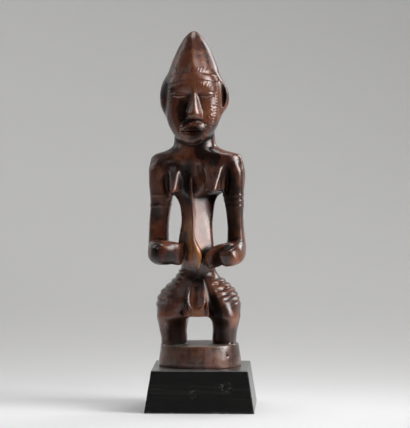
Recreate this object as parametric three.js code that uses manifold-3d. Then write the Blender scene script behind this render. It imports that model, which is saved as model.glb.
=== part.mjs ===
// A Senufo woman carved from one block of dark wood with her own round base, on a black tapered plinth.
// Millimetres, +Z up. The figure looks along -Y. The origin is the middle of the plinth's underside.
// The body is a set of lofts, each worked out from a short table of level sections, joined into one solid.

import * as THREE from "three";
import { mergeVertices } from "three/addons/utils/BufferGeometryUtils.js";
import Module from "manifold-3d";

const wasm = await Module();
wasm.setup();

// Plinth: a square block whose sides lean in
const PLINTH_BOTTOM = 85.6;
const PLINTH_TOP = 74.8;
const PLINTH_HEIGHT = 33.5;

// Stance: how far the body is turned on its base and the head is turned back, and the middle of the head
const BODY_TURN = -4;
const HEAD_TURN = 2;
const HEAD_X = -6.3;
const HEAD_Y = 3;

// Ribs round the outside of each hip: crest heights at the middle of the body, and how far they climb to the right
const HIP_RIBS = [83.6, 89.8, 94.7, 98.6, 102.2, 105.6, 109];
const HIP_RIB_TILT = 5;
const HIP_RIB_RISE = 0.9;
const HIP_RIB_FRONT = 0.5;

// Armlet: raised rings round each upper arm
const ARMLET_RINGS = [161.6, 165.7, 169.8];
const ARMLET_RISE = 0.8;
const ARMLET_RING_HALF = 1.5;

// Headband: a raised fillet between the forehead and the crested hair
const BAND_LOW = 262.6;
const BAND_HIGH = 266;
const BAND_RISE = 0.6;

// Ear: how far it stands out from the side of the head at each height, and the thickness of its rim
const EAR = [
  [231.5, 0.3],
  [234.6, 1.9],
  [238, 3.4],
  [243, 4.8],
  [249, 5.4],
  [254.5, 4.8],
  [260, 3.2],
  [264.5, 1.5],
  [266.6, 0.3],
];
const EAR_RIM = 1.6;
const EAR_FRONT = -5;
const EAR_BACK = 3;
const HEAD_SIDE = 21.9;

// Section tables. Each row is one level section of a form, from the lowest up:
// height, middle from side to side, half width, front, back, front edge, back edge.
// An edge of 2 is an ellipse, less is drawn out to a ridge, and more is squarer.
const BASE = [
  [33.5, -1.3, 32.7, -27, 32, 2, 2],
  [36, -1.3, 33, -27.4, 32.4, 2, 2],
  [46, -1.4, 32, -26.6, 31.6, 2, 2],
  [51.4, -1.4, 31, -25.8, 30.8, 2, 2],
];
const LEG_LEFT = [
  [48, -21.9, 10.2, -16, 16, 2.3, 2.3],
  [55, -21.9, 10.4, -13.5, 15, 2.3, 2.3],
  [62, -22.8, 10.8, -12, 15.5, 2.3, 2.3],
  [68, -23, 11.9, -15, 18.5, 2.4, 2.3],
  [74.5, -22.7, 13.1, -18.5, 21.5, 2.4, 2.3],
  [84, -21.4, 14, -17, 24, 2.4, 2.3],
];
const LEG_RIGHT = [
  [48, 18.4, 9.6, -16, 16, 2.3, 2.3],
  [55, 18.5, 9.6, -13.5, 15, 2.3, 2.3],
  [62, 19, 9.8, -12, 15.5, 2.3, 2.3],
  [68, 19.4, 10.6, -15, 18.5, 2.4, 2.3],
  [74.5, 18.9, 12.1, -18.5, 21.5, 2.4, 2.3],
  [84, 17, 13, -17, 24, 2.4, 2.3],
];
const HIPS = [
  [74, -2.4, 28, -11, 16, 2.5, 2.3],
  [77.5, -2.5, 31, -14.5, 22.5, 2.5, 2.3],
  [82, -2.8, 32.8, -17, 28, 2.5, 2.3],
  [87.4, -3, 32, -17.2, 30.5, 2.4, 2.2],
  [93.8, -2.6, 28.9, -15.8, 29.5, 2.3, 2.2],
  [100.2, -2.7, 22.6, -14, 25.5, 2.2, 2.1],
  [106.6, -3.3, 16.4, -12.5, 20, 2.1, 2],
  [112.8, -2.9, 13.6, -12, 15, 2, 2],
  [118, -2.9, 13.2, -12, 11, 2, 2],
];
const TRUNK = [
  [104, -2.4, 11.5, -11, 15, 1.8, 2],
  [110, -2.5, 13.6, -15.5, 14, 1.6, 2],
  [116, -2.8, 14.2, -20.5, 12, 1.45, 2],
  [122.6, -3.2, 14.4, -23, 11, 1.35, 2],
  [129, -3.6, 14.2, -23, 10.5, 1.35, 2],
  [135.4, -3.7, 13.7, -21, 10, 1.35, 2],
  [141.8, -3.5, 13, -18.5, 10, 1.35, 2],
  [148, -3.1, 12.5, -16, 10.3, 1.4, 2],
  [154.6, -2.9, 12.9, -14, 11, 1.45, 2],
  [161, -3, 13.8, -13, 11.8, 1.6, 2.1],
  [165, -3.3, 15, -12.8, 12.5, 1.8, 2.2],
  [169, -3.5, 17.4, -13.2, 13.4, 2, 2.3],
  [174, -3.6, 22.4, -14, 14.8, 2.1, 2.4],
  [180, -3.7, 27, -14, 16, 2.2, 2.4],
  [190, -3.8, 29, -13, 16.5, 2.4, 2.4],
];
const YOKE = [
  [175.5, -3.9, 37, -9, 12.5, 2.8, 2.8],
  [180, -3.8, 38, -10.5, 14, 2.8, 2.8],
  [186, -3.8, 38.2, -11.5, 15, 2.8, 2.8],
  [193, -4, 37.6, -12, 15.5, 2.8, 2.8],
  [199.5, -4, 36.4, -11.5, 15.5, 2.7, 2.7],
  [202.6, -3.5, 34, -11.5, 15, 2.6, 2.6],
  [206, -4.4, 23.2, -11.5, 15, 2.3, 2.3],
  [209.5, -5.4, 17.2, -11.5, 15.5, 2.1, 2.1],
  [215, -5.6, 16.4, -11.5, 16.3, 2, 2],
  [222, -5.8, 15.8, -10.5, 17, 2, 2],
  [230, -6, 15, -9, 17, 2, 2],
];
const ARM_LEFT = [
  [117, -33.2, 6, -6, 6.5, 2.2, 2.2],
  [122, -34.1, 7.8, -8.5, 9.5, 2.2, 2.2],
  [131, -34.1, 8.1, -9, 10.5, 2.2, 2.2],
  [138.6, -34.1, 7.9, -8.5, 10, 2.2, 2.2],
  [145, -34, 7.8, -8, 9.5, 2.2, 2.2],
  [151.4, -33.7, 7.8, -8, 9.5, 2.2, 2.2],
  [161, -32.7, 8.2, -8.5, 10.5, 2.2, 2.2],
  [170, -32, 9, -9, 11.5, 2.3, 2.3],
  [180, -32.4, 9.6, -9, 12, 2.3, 2.3],
  [190, -32.4, 9.6, -9, 12, 2.3, 2.3],
];
const ARM_RIGHT = [
  [119.5, 27, 4.6, -6, 6.5, 2.2, 2.2],
  [123, 28, 6.6, -8.5, 9.5, 2.2, 2.2],
  [131, 28.2, 7.2, -9, 10.5, 2.2, 2.2],
  [138.6, 27.9, 6.6, -8.5, 10, 2.2, 2.2],
  [145, 27.7, 6.3, -8, 9.5, 2.2, 2.2],
  [151.4, 27.3, 6.5, -8, 9.5, 2.2, 2.2],
  [161, 26.8, 7.2, -8.5, 10.5, 2.2, 2.2],
  [170, 25.8, 8.1, -9, 11.5, 2.3, 2.3],
  [180, 25.2, 9.2, -9, 12, 2.3, 2.3],
  [190, 24.8, 9.4, -9, 12, 2.3, 2.3],
];
const HEAD = [
  [211.6, 0, 3, -22.5, 3, 2, 2],
  [213.6, 0, 8.6, -24.8, 7, 2, 2],
  [216.4, 0, 13, -26.2, 10, 2.1, 2],
  [221.8, 0, 17.2, -26.6, 13.5, 2.2, 2],
  [228.2, 0, 20.3, -26, 17, 2.3, 2.1],
  [235, 0, 21.9, -25, 20, 2.4, 2.2],
  [243, 0, 22.1, -24.2, 22.4, 2.4, 2.2],
  [250, 0, 21.9, -24.4, 23.4, 2.4, 2.2],
  [257, 0, 21.5, -25, 24, 2.3, 2.1],
  [263.4, 0, 20.9, -24.2, 24, 2.1, 2],
  [269.8, 0, 19.8, -22.8, 23.2, 1.8, 1.8],
  [276.2, 0, 17.6, -20.4, 21.4, 1.45, 1.6],
  [282.6, 0, 14.9, -17.2, 18.6, 1.3, 1.45],
  [289, 0, 11.6, -13.2, 14.6, 1.3, 1.4],
  [295.4, 0, 7.1, -8.2, 9.4, 1.4, 1.5],
  [299, 0, 3.7, -4.4, 5.4, 1.6, 1.7],
  [301, 0, 0.9, -1.2, 1.4, 2, 2],
];
const NOSE = [
  [232.8, 0, 7.2, -29.2, -16, 1.7, 2],
  [236, 0, 6.2, -30.6, -16, 1.6, 2],
  [242, 0, 4, -29.2, -16, 1.5, 2],
  [250, 0, 2.6, -27, -16, 1.6, 2],
  [258, 0, 2.8, -25.2, -16, 1.8, 2],
];
const MUZZLE = [
  [215.4, 0, 6, -27, -16, 2.2, 2],
  [217.6, 0, 8.8, -29.2, -16, 2.4, 2],
  [221.5, 0, 9.8, -30.6, -16, 2.4, 2],
  [225.6, 0, 8.8, -30.2, -16, 2.4, 2],
  [228.4, 0, 5.6, -27.8, -16, 2, 2],
];
const APRON = [
  [75, -2.2, 10.6, -20.4, -4, 4, 4],
  [80, -2.2, 10, -20.8, -4, 4, 4],
  [90, -2.3, 8.6, -18, -4, 4, 4],
  [101.5, -2.4, 6.6, -13.6, -4, 4, 4],
];

// Paths of the forms that don't stand upright. Each row is a point of the middle line and the form's size there:
// x, y, z, half thickness on the level, half thickness across that.
const FOREARM_LEFT = [
  [-34.6, 8, 126, 6.4, 7.6],
  [-34.4, 2, 126, 7.9, 8.8],
  [-33.3, -8, 125.7, 8.4, 9.4],
  [-31.2, -16, 125.5, 8.8, 9.2],
  [-28.6, -22, 125.3, 7.8, 8.2],
  [-27, -25.4, 125, 5.2, 5.8],
  [-26, -27, 125, 1.8, 2],
];
const FOREARM_RIGHT = [
  [28.2, 8, 126.6, 6, 7.2],
  [28.2, 2, 126.4, 7.2, 8],
  [28.2, -8, 126, 7.6, 8.4],
  [26.4, -16, 125.6, 8.2, 9],
  [23.6, -22, 125.4, 7.2, 8.6],
  [21.8, -25.4, 125.3, 5, 6],
  [20.6, -27, 125.3, 1.8, 2],
];
const HAND_LEFT = [
  [-28.5, -18.4, 126, 4.4, 8.8],
  [-24.5, -19.8, 126, 4, 9],
  [-20.5, -19.2, 125.4, 3.6, 9.4],
  [-16.8, -16.6, 124.2, 3, 9.4],
  [-14, -14, 123, 1.6, 8],
];
const HAND_RIGHT = [
  [25, -18.5, 127, 4.4, 7.2],
  [19.5, -21, 125.6, 3.8, 7.8],
  [14.4, -21, 122.8, 3.4, 8.6],
  [10, -19.2, 118.4, 2.8, 7],
  [7.4, -16.8, 114, 1.6, 4.4],
];
const BREAST_LEFT = [
  [-15, -4, 198, 7.5, 6],
  [-16.4, -10, 189, 8.2, 6.5],
  [-18, -15.6, 181, 5.8, 5],
  [-19.6, -20.4, 174.4, 3.2, 3],
  [-20.2, -22.6, 171, 1.2, 1.2],
];
const BREAST_RIGHT = [
  [9.5, -4, 200, 8, 6],
  [10.4, -10, 191.4, 8.8, 6.5],
  [11.4, -15.6, 183.4, 6.2, 5],
  [12.2, -20.4, 177, 3.3, 3],
  [12.6, -22.6, 173.6, 1.2, 1.2],
];
const KEEL = [
  [-7.4, -10.5, 184, 1.2, 1.6],
  [-7, -12.4, 175, 1.2, 1.8],
  [-5.4, -12.6, 165, 1.1, 1.8],
  [-4.8, -14, 154, 1.1, 1.6],
  [-4.6, -17.6, 143, 1.1, 1.6],
  [-4, -21, 134.5, 1.6, 1.9],
  [-3, -22.8, 127, 2.4, 2.6],
  [-1.8, -21, 118.5, 2, 2.2],
  [-1.4, -17.6, 112.6, 1.2, 1.4],
];
const APRON_RIM = [
  [-2.3, -12.4, 98.5, 6.6, 5],
  [-2.3, -15.8, 92.5, 8, 5],
  [-2.3, -17.6, 86, 8.6, 4.4],
  [-2.3, -18.2, 81.4, 6.6, 3.6],
  [-2.3, -18.4, 78.8, 3, 2.6],
];
const APRON_HOLLOW = [
  [-2.3, -17.6, 99, 4, 4],
  [-2.3, -19.8, 93, 5.8, 4.2],
  [-2.3, -21.4, 87, 6.4, 4],
  [-2.3, -22.2, 82.8, 4.8, 3.2],
  [-2.3, -22.6, 80.6, 2, 2],
];
const EYELID = [
  [4.6, -23.6, 250.3, 0.8, 0.4],
  [7.6, -23.8, 250.5, 1.7, 2.5],
  [11, -22.4, 250.4, 1.8, 2.9],
  [14.4, -20.2, 250.2, 1.7, 2.1],
  [17.4, -17.2, 250, 0.8, 0.4],
];
const EYE_SLIT = [
  [5.4, -25.2, 250.6, 1, 0.3],
  [11, -24.4, 250.6, 1.5, 0.5],
  [17, -18.8, 250.4, 1, 0.3],
];
const MOUTH_SLIT = [
  [-7.8, -29.4, 221.4, 1.2, 0.3],
  [0, -31.6, 221.6, 1.8, 0.5],
  [7.8, -29.4, 221.4, 1.2, 0.3],
];

const RAISED_EDGE = 0.12;

// A table's row at any height, on a smooth curve through the rows that never overshoots them.
function rowAt(rows, height) {
  const last = rows.length - 1;
  const secant = (i, column) => (rows[i + 1][column] - rows[i][column]) / (rows[i + 1][0] - rows[i][0]);
  const slope = (i, column) => {
    if (i === 0) return secant(0, column);
    if (i === last) return secant(last - 1, column);
    const below = secant(i - 1, column);
    const above = secant(i, column);
    return below * above <= 0 ? 0 : (2 * below * above) / (below + above);
  };
  let i = 0;
  while (i < last - 1 && height > rows[i + 1][0]) i++;
  const span = rows[i + 1][0] - rows[i][0];
  const t = (height - rows[i][0]) / span;
  return rows[i].map((value, column) => {
    if (column === 0) return height;
    const rise = rows[i + 1][column] - value;
    const cubic = t * t * (3 - 2 * t);
    const leaving = t * (1 - t) * (1 - t) * span * slope(i, column);
    const arriving = t * t * (t - 1) * span * slope(i + 1, column);
    return value + rise * cubic + leaving + arriving;
  });
}

// Closed solid skin over a stack of rings, with a flat cap at each end.
function skin(rings) {
  const sides = rings[0].length;
  const points = rings.flat();
  const faces = [];
  for (let r = 0; r + 1 < rings.length; r++) {
    for (let k = 0; k < sides; k++) {
      const a = r * sides + k;
      const b = r * sides + ((k + 1) % sides);
      faces.push(a, b, b + sides, a, b + sides, a + sides);
    }
  }
  for (const [ring, first] of [[rings[0], 0], [rings.at(-1), (rings.length - 1) * sides]]) {
    const middle = ring.reduce((sum, p) => sum.add(p), new THREE.Vector3()).divideScalar(sides);
    points.push(middle);
    for (let k = 0; k < sides; k++) {
      const edge = [first + k, first + ((k + 1) % sides)];
      faces.push(points.length - 1, ...(first ? edge : edge.reverse()));
    }
  }
  const geometry = new THREE.BufferGeometry().setFromPoints(points);
  geometry.setIndex(faces);
  return solid(geometry);
}

function solid(geometry) {
  for (const name of Object.keys(geometry.attributes)) {
    if (name !== "position") geometry.deleteAttribute(name);
  }
  const merged = mergeVertices(geometry);
  return new wasm.Manifold(
    new wasm.Mesh({
      numProp: 3,
      vertProperties: merged.attributes.position.array,
      triVerts: new Uint32Array(merged.index.array),
    }),
  );
}

// Level section of a form: an ellipse whose front and back can be ridged or squared.
function section(row, sides, relief) {
  const [z, x, halfWidth, front, back, frontEdge, backEdge] = row;
  const middle = (front + back) / 2;
  return Array.from({ length: sides }, (_, k) => {
    const angle = (2 * Math.PI * k) / sides;
    const across = Math.cos(angle);
    const along = Math.sin(angle);
    const edge = along < 0 ? frontEdge : backEdge;
    const reach = (back - front) / 2;
    const px = halfWidth * Math.sign(across) * Math.abs(across) ** (2 / edge);
    const py = reach * Math.sign(along) * Math.abs(along) ** (2 / Math.max(edge, 2));
    const rise = 1 + relief(angle) / Math.hypot(px, py);
    return new THREE.Vector3(x + px * rise, middle + py * rise, z);
  });
}

// Upright form from its table. The levels are evenly spaced, with the heights in extra added, and a form whose
// levels aren't flat says how far each point climbs.
function loft(rows, { sides = 20, step = 6, relief = () => 0, extra = [], climb = () => 0 } = {}) {
  const low = rows[0][0];
  const high = rows.at(-1)[0];
  const count = Math.max(1, Math.round((high - low) / step));
  const even = Array.from({ length: count + 1 }, (_, i) => low + ((high - low) * i) / count);
  const clear = even.filter((z) => extra.every((e) => Math.abs(e - z) > step / 4));
  const levels = [...clear, ...extra].sort((a, b) => a - b);
  const rings = levels.map((z) => {
    const ring = section(rowAt(rows, z), sides, (angle) => relief(z, angle));
    return ring.map((point, k) => {
      const up = z + climb(point.x, (z - low) / (high - low));
      const within = Math.min(high, Math.max(low, up));
      return section(rowAt(rows, within), sides, (angle) => relief(z, angle))[k].setZ(up);
    });
  });
  return skin(rings);
}

// Form that follows a path, such as a forearm: rings square to the path, wide on the level and across it.
function limb(stations, { sides = 14, between = 1 } = {}) {
  const column = (rows, from, to) => rows.map((row) => new THREE.Vector3(...row.slice(from, to), 0).setZ(row[to - 1]));
  const path = new THREE.CatmullRomCurve3(column(stations, 0, 3));
  const sizes = new THREE.CatmullRomCurve3(stations.map((row) => new THREE.Vector3(row[3], row[4], 0)));
  const count = (stations.length - 1) * (between + 1);
  const rings = Array.from({ length: count + 1 }, (_, i) => {
    const middle = path.getPoint(i / count);
    const heading = path.getTangent(i / count);
    const level = new THREE.Vector3(0, 0, 1).cross(heading).normalize();
    const across = heading.clone().cross(level);
    const size = sizes.getPoint(i / count);
    return Array.from({ length: sides }, (_, k) => {
      const angle = (2 * Math.PI * k) / sides;
      return middle
        .clone()
        .addScaledVector(level, size.x * Math.cos(angle))
        .addScaledVector(across, size.y * Math.sin(angle));
    });
  });
  return skin(rings);
}

function join(solids) {
  return solids.reduce((whole, next) => whole.add(next));
}

function armlet(z) {
  const nearest = Math.min(...ARMLET_RINGS.map((ring) => Math.abs(z - ring)));
  return nearest < RAISED_EDGE ? ARMLET_RISE : 0;
}

function makeArm(rows) {
  const extra = ARMLET_RINGS.flatMap((ring) => [ring - ARMLET_RING_HALF, ring, ring + ARMLET_RING_HALF]);
  return loft(rows, { sides: 16, step: 8, relief: armlet, extra });
}

function makeBase() {
  const climb = (x, share) => 0.03 * x * share;
  return loft(BASE, { sides: 40, step: 6, climb });
}

function makeHips() {
  const ribs = (z, angle) => {
    const outside = Math.abs(Math.cos(angle)) > HIP_RIB_FRONT;
    return outside && HIP_RIBS.some((crest) => Math.abs(z - crest) < RAISED_EDGE) ? HIP_RIB_RISE : 0;
  };
  const slope = Math.tan(THREE.MathUtils.degToRad(HIP_RIB_TILT));
  const climb = (x, share) => slope * x * Math.min(1, 5 * share, 5 * (1 - share));
  const troughs = HIP_RIBS.slice(1).map((crest, i) => (crest + HIP_RIBS[i]) / 2);
  const extra = [...HIP_RIBS, ...troughs, HIP_RIBS[0] - 2.6, HIP_RIBS.at(-1) + 2];
  return loft(HIPS, { sides: 28, step: 6, relief: ribs, extra, climb });
}

function makeApron(figure) {
  return figure
    .add(loft(APRON, { sides: 12, step: 9 }))
    .add(limb(APRON_RIM, { sides: 14, between: 0 }))
    .subtract(limb(APRON_HOLLOW, { sides: 14, between: 0 }));
}

// Ear on one side of the head: a curved plate, hollowed from the front inside its rim.
function makeEar(side) {
  const edge = (inner, [z, out], trim) => {
    const outer = HEAD_SIDE + out - trim;
    return [z, (side * (inner + outer)) / 2, (outer - inner) / 2];
  };
  const plate = EAR.map((row) => [...edge(19, row, 0), EAR_FRONT, EAR_BACK, 2.6, 2.6]);
  const inside = EAR.filter(([, out]) => out > EAR_RIM + 0.6);
  const hollow = inside.map((row) => [...edge(HEAD_SIDE - 0.6, row, EAR_RIM), EAR_FRONT - 5, EAR_BACK - 4, 2.6, 2.6]);
  return loft(plate, { sides: 10, step: 5 }).subtract(loft(hollow, { sides: 8, step: 5 }));
}

function mirrored(stations) {
  return stations.map(([x, ...rest]) => [-x, ...rest]);
}

function makeHead() {
  const band = (z) => (z >= BAND_LOW && z <= BAND_HIGH ? BAND_RISE : 0);
  const extra = [BAND_LOW - 0.6, BAND_LOW, BAND_HIGH, BAND_HIGH + 0.6];
  const forms = [
    loft(HEAD, { sides: 28, step: 5, relief: band, extra }),
    loft(NOSE, { sides: 10, step: 6 }),
    loft(MUZZLE, { sides: 14, step: 3.4 }),
    makeEar(1),
    makeEar(-1),
    limb(EYELID, { sides: 8, between: 0 }),
    limb(mirrored(EYELID), { sides: 8, between: 0 }),
  ];
  const slits = [
    limb(EYE_SLIT, { sides: 6, between: 1 }),
    limb(mirrored(EYE_SLIT), { sides: 6, between: 1 }),
    limb(MOUTH_SLIT, { sides: 6, between: 1 }),
  ];
  return join(forms).subtract(join(slits)).rotate([0, 0, HEAD_TURN]).translate([HEAD_X, HEAD_Y, 0]);
}

function makeFigure() {
  const body = join([
    makeBase(),
    loft(LEG_LEFT, { sides: 18, step: 6 }),
    loft(LEG_RIGHT, { sides: 18, step: 6 }),
    makeHips(),
    loft(TRUNK, { sides: 24, step: 6 }),
    loft(YOKE, { sides: 28, step: 4.5 }),
    makeArm(ARM_LEFT),
    makeArm(ARM_RIGHT),
    limb(FOREARM_LEFT, { between: 0 }),
    limb(FOREARM_RIGHT, { between: 0 }),
    limb(HAND_LEFT, { sides: 12, between: 0 }),
    limb(HAND_RIGHT, { sides: 12, between: 0 }),
    limb(BREAST_LEFT, { sides: 12, between: 0 }),
    limb(BREAST_RIGHT, { sides: 12, between: 0 }),
    limb(KEEL, { sides: 8, between: 0 }),
  ]);
  return makeApron(body).add(makeHead());
}

function makePlinth() {
  const halves = [[0, PLINTH_BOTTOM / 2], [PLINTH_HEIGHT, PLINTH_TOP / 2]];
  return skin(
    halves.map(([z, half]) =>
      [[-1, -1], [1, -1], [1, 1], [-1, 1]].map(([x, y]) => new THREE.Vector3(x * half, y * half, z)),
    ),
  );
}

function mesh(name, made, colour, roughness) {
  const { vertProperties, triVerts } = made.getMesh();
  const geometry = new THREE.BufferGeometry();
  geometry.setAttribute("position", new THREE.BufferAttribute(vertProperties, 3));
  geometry.setIndex(new THREE.BufferAttribute(triVerts, 1));
  geometry.computeVertexNormals();
  const piece = new THREE.Mesh(geometry, new THREE.MeshStandardMaterial({ color: colour, roughness, metalness: 0 }));
  piece.name = name;
  return piece;
}

const statue = new THREE.Group();
const figure = mesh("figure", makeFigure(), 0x4a2a20, 0.4);
figure.rotation.z = THREE.MathUtils.degToRad(BODY_TURN);
statue.add(figure, mesh("plinth", makePlinth(), 0x14140f, 0.35));

export default statue;
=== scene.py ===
# Looks of a Senufo woman carved from one block of dark wood with her own round base, on a tapered plinth.
# The figure is worked out in millimetres, unturned, as a field of distances to its surface on a grid: forms
# given by short tables are joined with rounded corners, then cut and raised. The field's surface is the
# figure's mesh. Left and right in the names are the picture's.

import itertools
import math

import bpy
import numpy as np
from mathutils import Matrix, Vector


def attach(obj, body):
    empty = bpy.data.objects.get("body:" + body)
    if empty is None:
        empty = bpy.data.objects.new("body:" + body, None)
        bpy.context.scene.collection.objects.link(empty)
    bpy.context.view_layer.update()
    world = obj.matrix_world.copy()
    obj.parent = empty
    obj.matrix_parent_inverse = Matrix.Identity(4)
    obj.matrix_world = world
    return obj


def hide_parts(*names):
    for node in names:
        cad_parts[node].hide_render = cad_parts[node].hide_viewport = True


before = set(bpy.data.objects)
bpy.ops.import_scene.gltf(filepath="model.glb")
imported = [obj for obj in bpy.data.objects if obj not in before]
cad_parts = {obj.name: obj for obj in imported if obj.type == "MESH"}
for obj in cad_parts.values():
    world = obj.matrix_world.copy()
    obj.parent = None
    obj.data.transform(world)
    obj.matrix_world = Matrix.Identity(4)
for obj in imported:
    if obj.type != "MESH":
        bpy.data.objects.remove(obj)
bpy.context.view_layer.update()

# Metres in a millimetre, and how far the figure is turned on its plinth
MM = 0.001
BODY_TURN = math.radians(-4)

# Grid that the figure is worked out on, the distance it starts with, and the most triangles in the mesh
GRID_STEP = 0.42
GRID_LOW = (-44, -34, 32.6)
GRID_HIGH = (38.5, 34.5, 303)
FAR = 8.0
FIGURE_TRIANGLES = 194000

# Strides that a field is softened over to show its edges, and its hollows
EDGE_STRIDES = (1, 2)
HOLLOW_STRIDES = (1, 2, 4, 8)

# Section tables. Each row is one level section of a form, from the lowest up:
# height, middle from side to side, half width, front, back, front edge, back edge.
# An edge of 2 is an ellipse, less is drawn out to a ridge, and more is squarer.
BASE = [
    [33.5, -1.3, 32.7, -27, 32, 2, 2],
    [36, -1.3, 33, -27.4, 32.4, 2, 2],
    [46, -1.4, 32, -26.6, 31.6, 2, 2],
    [51.4, -1.4, 31, -25.8, 30.8, 2, 2],
]
BASE_BOTTOM, BASE_TOP = BASE[0][0], BASE[-1][0]
# The base's top climbs to the right, inside a box from its low corner to its high one
TOP_CLIMB = 0.03
TOP_BOX = (-40, -34, 46), (36, 34, 54)
LEG_LEFT = [
    [48, -21.9, 10.2, -14.8, 16, 2.3, 2.3],
    [55, -21.9, 10.4, -13.8, 15, 2.3, 2.3],
    [62, -22.8, 10.8, -13.8, 15.5, 2.3, 2.3],
    [68, -23, 11.9, -15.6, 18.5, 2.4, 2.3],
    [74.5, -22.7, 13.1, -18.2, 21.5, 2.4, 2.3],
    [84, -20.6, 12.8, -17.4, 23, 2.4, 2.3],
    [94, -16, 8, -10, 17, 2.4, 2.3],
]
LEG_RIGHT = [
    [48, 18.4, 9.6, -14.8, 16, 2.3, 2.3],
    [55, 18.5, 9.6, -13.8, 15, 2.3, 2.3],
    [62, 19, 9.8, -13.8, 15.5, 2.3, 2.3],
    [68, 19.4, 10.6, -15.6, 18.5, 2.4, 2.3],
    [74.5, 18.9, 12.1, -18.2, 21.5, 2.4, 2.3],
    [84, 16.4, 12.2, -17.4, 23, 2.4, 2.3],
    [94, 12, 7, -10, 17, 2.4, 2.3],
]
HIPS = [
    [74, -2.4, 24, -7, 14, 2.3, 2.3],
    [77.5, -2.5, 29.6, -12, 21.5, 2.4, 2.3],
    [82, -2.8, 32.8, -16.2, 28, 2.5, 2.3],
    [87.4, -3, 32, -17.2, 30.5, 2.4, 2.2],
    [93.8, -2.6, 28.9, -15.8, 29.5, 2.3, 2.2],
    [100.2, -2.7, 22.6, -14, 25.5, 2.2, 2.1],
    [106.6, -3.3, 16.4, -12.5, 20, 2.1, 2],
    [112.8, -2.9, 13.6, -12, 15, 2, 2],
    [118, -2.9, 13.2, -12, 11, 2, 2],
]
TRUNK = [
    [106.5, -2, 1.2, -13, 4, 2, 2],
    [109.5, -2.1, 5, -15.6, 8, 2, 2],
    [113, -2.3, 8.4, -18.2, 10, 2, 2],
    [117.5, -2.6, 11.4, -20.8, 11, 2, 2],
    [122.6, -3, 13.6, -22.6, 11, 2, 2],
    [129, -3.6, 14.2, -23.3, 10.5, 2, 2],
    [135.4, -3.7, 13.7, -21.6, 10, 2, 2],
    [141.8, -3.5, 13, -18.8, 10, 2, 2],
    [148, -3.1, 12.5, -16, 10.3, 2, 2],
    [154.6, -2.9, 12.9, -14, 11, 2, 2],
    [161, -3, 13.8, -13, 11.8, 2, 2.1],
    [165, -3.3, 15, -12.6, 12.5, 2, 2.2],
    [169, -3.5, 17.4, -11.8, 13.4, 2, 2.3],
    [174, -3.6, 22.4, -10.6, 14.8, 2.1, 2.4],
    [180, -3.7, 27, -9.8, 16, 2.2, 2.4],
    [190, -3.8, 28, -9.5, 16.5, 2.4, 2.4],
    [198, -4.2, 24, -9.5, 15, 2.2, 2.4],
    [206, -5, 15, -8, 12, 2, 2.2],
]
YOKE = [
    [174.5, -3.9, 33, -1, 9, 2.4, 2.6],
    [179, -3.8, 37, -3.6, 12.5, 2.6, 2.8],
    [186, -3.8, 38.2, -6.6, 15, 2.8, 2.8],
    [193, -4, 37.6, -9.8, 15.5, 2.8, 2.8],
    [199.5, -4, 36.4, -11.5, 15.5, 2.7, 2.7],
    [202.6, -3.5, 34, -11.5, 15, 2.6, 2.6],
    [206, -4.4, 23.2, -11.5, 15, 2.3, 2.3],
    [209.5, -5.4, 17.2, -11.5, 15.5, 2.1, 2.1],
    [215, -5.6, 16.4, -11.5, 16.3, 2, 2],
    [222, -5.8, 15.8, -10.5, 17, 2, 2],
    [230, -6, 15, -9, 17, 2, 2],
]
ARM_LEFT = [
    [117, -33.2, 6, -6, 6.5, 2.2, 2.2],
    [122, -34.1, 7.8, -8.5, 9.5, 2.4, 2.2],
    [131, -34.1, 8.1, -9, 10.5, 2.8, 2.2],
    [138.6, -34.1, 7.9, -8.5, 10, 3, 2.2],
    [145, -34, 7.8, -8, 9.5, 3, 2.2],
    [151.4, -33.7, 7.8, -8, 9.5, 3, 2.2],
    [161, -32.7, 8.2, -8.5, 10.5, 3, 2.2],
    [170, -32, 9, -9, 11.5, 3, 2.3],
    [180, -32.4, 9.6, -9.4, 12, 2.9, 2.3],
    [190, -32.2, 9.7, -9.8, 12, 2.7, 2.3],
    [197, -30.4, 8.4, -9, 11.5, 2.4, 2.3],
    [202, -27, 5, -6, 9, 2.2, 2.2],
]
ARM_RIGHT = [
    [119.5, 27, 4.6, -6, 6.5, 2.2, 2.2],
    [123, 28, 6.6, -8.5, 9.5, 2.4, 2.2],
    [131, 28.2, 7.2, -9, 10.5, 3, 2.2],
    [138.6, 27.9, 6.6, -8.5, 10, 3.6, 2.2],
    [145, 27.7, 6.3, -8, 9.5, 3.8, 2.2],
    [151.4, 27.3, 6.5, -8, 9.5, 3.8, 2.2],
    [161, 26.8, 7.2, -8.5, 10.5, 3.8, 2.2],
    [170, 25.8, 8.1, -9, 11.5, 3.6, 2.3],
    [180, 25.2, 9.2, -9.4, 12, 3.2, 2.3],
    [190, 24.6, 9.5, -9.8, 12, 2.8, 2.3],
    [197, 23, 8.2, -9, 11.5, 2.4, 2.3],
    [202, 19.6, 5, -6, 9, 2.2, 2.2],
]
APRON = [
    [74.6, -2.2, 10.4, -20.6, -4, 5, 4],
    [80, -2.2, 9.8, -20.6, -4, 5, 4],
    [90, -2.3, 8.4, -18, -4, 5, 4],
    [98, -2.4, 6.8, -15.2, -4, 5, 4],
    [105, -2.4, 5.2, -11.5, -4, 4, 4],
]

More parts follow.
